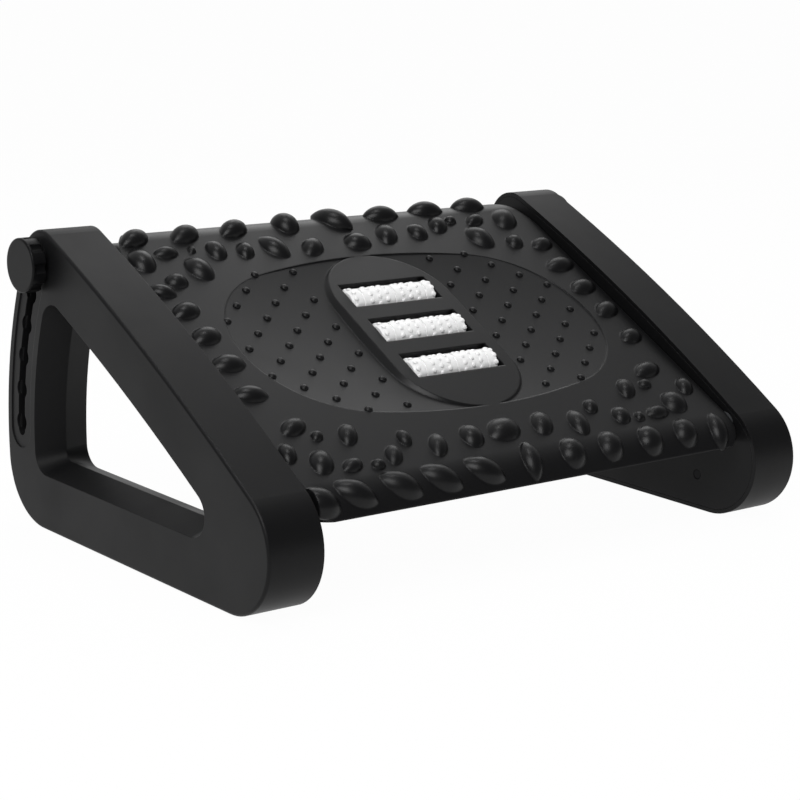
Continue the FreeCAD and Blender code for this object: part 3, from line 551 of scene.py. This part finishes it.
@dataclass
class Deck:
    """The tilting deck with its cradle, rollers and axles."""

    plane: DeckPlane = field(default_factory=DeckPlane)

    def build(self, paint: Paint) -> None:
        """Dresses the deck and adds its dots and nubs.

        Args:
            paint: finishes.
        """
        paint.dress(DECK_BLACK, ["deck_board"])
        paint.dress(CRADLE_BLACK, ["roller_cradle"])
        paint.dress(BUSH_GREY, ["hinge_bush_" + side.word for side in Side])
        steel = ["cradle_screws"] + ["clamp_nut_" + side.word for side in Side]
        paint.dress(ZINC_STEEL, steel + ["axle_" + which.word for which in Roller])
        paint.dress(ROLLER_WHITE, ["roller_" + which.word for which in Roller])
        DeckDots(self.plane).build(paint)
        for which in Roller:
            RollerNubs(self.plane).build(paint, which)


@dataclass
class Clamps:
    """Studs and knobs that clamp the deck in the arc slots."""

    def build(self, paint: Paint) -> None:
        """Dresses the studs and knobs.

        Args:
            paint: finishes.
        """
        paint.dress(ZINC_STEEL, ["clamp_stud_" + side.word for side in Side])
        paint.dress(KNOB_BLACK, ["knob_" + side.word for side in Side])


# Studio -----------------------------------------------------------------------------


@dataclass
class Studio:
    """Pale floor, white surround, soft lamps and the camera at the photograph's angle."""

    camera_at: tuple[float, float, float] = (-914.3, -1146.9, 408.1)
    azimuth: float = -38.38
    elevation: float = 12.48
    roll: float = 1.17
    lens: float = 97.5
    floor_half: float = 9.0
    floor_paper: str = "#f0f0f0"
    floor_white: float = 0.975
    backdrop: tuple[float, float, float] = (0.2, 0.75, 0.63)
    backdrop_light: float = 0.75
    room_light: float = 0.15
    lamps: tuple[tuple[str, tuple[float, float, float], float, float], ...] = (
        ("key_lamp", (-1.2, -1.0, 1.6), 1.2, 31.0),
        ("top_lamp", (0.0, 0.0, 1.8), 0.5, 5.5),
        ("rear_lamp", (0.9, 1.1, 1.2), 1.0, 4.5),
    )

    def build(self) -> None:
        """Makes the floor, the world, the lamps and the camera."""
        self.floor()
        self.surround()
        for name, place, size, power in self.lamps:
            self.lamp(name, place, size, power)
        self.camera()

    def floor(self) -> None:
        """A pale floor that is white to the camera but keeps the object's shadow."""
        half = self.floor_half
        corners = [(-half, -half, 0), (half, -half, 0), (half, half, 0), (-half, half, 0)]
        ground = plain_mesh("studio_floor", np.array(corners), [(0, 1, 2, 3)])
        material = bpy.data.materials.new("studio_paper")
        material.use_nodes = True
        tree = material.node_tree
        tree.nodes.clear()
        ray = add(tree, "ShaderNodeLightPath").outputs
        seen = add(
            tree, "ShaderNodeMath", {0: ray["Is Camera Ray"], 1: ray["Is Glossy Ray"]}, operation="MAXIMUM"
        )
        paper = add(tree, "ShaderNodeBsdfDiffuse", {"Color": linear(self.floor_paper)}).outputs[0]
        white = add(tree, "ShaderNodeEmission", {"Color": (1, 1, 1, 1), "Strength": 1.0}).outputs[0]
        shown = add(tree, "ShaderNodeMath", {0: seen.outputs[0], 1: self.floor_white}, operation="MULTIPLY")
        mix = add(tree, "ShaderNodeMixShader", {0: shown.outputs[0], 1: paper, 2: white}).outputs[0]
        add(tree, "ShaderNodeOutputMaterial", {"Surface": mix})
        ground.data.materials.append(material)

    def surround(self) -> None:
        """White for the camera; for the object, a lit backdrop behind it and a dim room in front."""
        world = bpy.data.worlds.new("studio_surround")
        bpy.context.scene.world = world
        world.use_nodes = True
        tree = world.node_tree
        tree.nodes.clear()
        ray = add(tree, "ShaderNodeLightPath").outputs
        where = add(tree, "ShaderNodeTexCoord").outputs["Generated"]
        toward = add(tree, "ShaderNodeVectorMath", {0: where, 1: self.backdrop}, operation="DOT_PRODUCT")
        share = add(
            tree,
            "ShaderNodeMapRange",
            {
                "Value": toward.outputs["Value"],
                "From Min": 0.2,
                "From Max": 1.0,
                "To Min": self.room_light,
                "To Max": self.backdrop_light,
            },
            interpolation_type="SMOOTHSTEP",
        ).outputs["Result"]
        light = add(tree, "ShaderNodeBackground", {"Color": (1, 1, 1, 1), "Strength": share}).outputs[0]
        white = add(tree, "ShaderNodeBackground", {"Color": (1, 1, 1, 1), "Strength": 1.0}).outputs[0]
        mix = add(tree, "ShaderNodeMixShader", {0: ray["Is Camera Ray"], 1: light, 2: white}).outputs[0]
        add(tree, "ShaderNodeOutputWorld", {"Surface": mix})

    def lamp(self, name: str, place: tuple[float, float, float], size: float, power: float) -> None:
        """Hangs a soft square lamp that faces the footrest.

        Args:
            name: lamp name.
            place: where it hangs, in metres.
            size: side of the lamp, in metres.
            power: watts.
        """
        light = bpy.data.lights.new(name, "AREA")
        light.size = size
        light.energy = power
        lamp = bpy.data.objects.new(name, light)
        lamp.location = place
        lamp.rotation_euler = (Vector((0, 0, 0.1)) - Vector(place)).to_track_quat("-Z", "Y").to_euler()
        bpy.context.scene.collection.objects.link(lamp)

    def camera(self) -> None:
        """Sets the camera at the photograph's angle."""
        a, e = math.radians(self.azimuth), math.radians(self.elevation)
        back = Vector((math.sin(a) * math.cos(e), -math.cos(a) * math.cos(e), math.sin(e)))
        data = bpy.data.cameras.new("camera")
        data.lens = self.lens
        data.sensor_width = 36.0
        data.clip_start, data.clip_end = 0.05, 50.0
        camera = bpy.data.objects.new("camera", data)
        aim = (-back).to_track_quat("-Z", "Y").to_matrix().to_4x4()
        turn = aim @ Matrix.Rotation(math.radians(self.roll), 4, "Z")
        camera.matrix_world = Matrix.Translation(Vector(self.camera_at) * MM) @ turn
        bpy.context.scene.collection.objects.link(camera)
        bpy.context.scene.camera = camera


def main() -> None:
    """Builds every part of the footrest, then the studio round it."""
    paint = Paint()
    Frames().build(paint)
    Deck().build(paint)
    Clamps().build(paint)
    Studio().build()
    bpy.context.scene.view_settings.view_transform = "Standard"


if __name__ == "__main__":
    main()
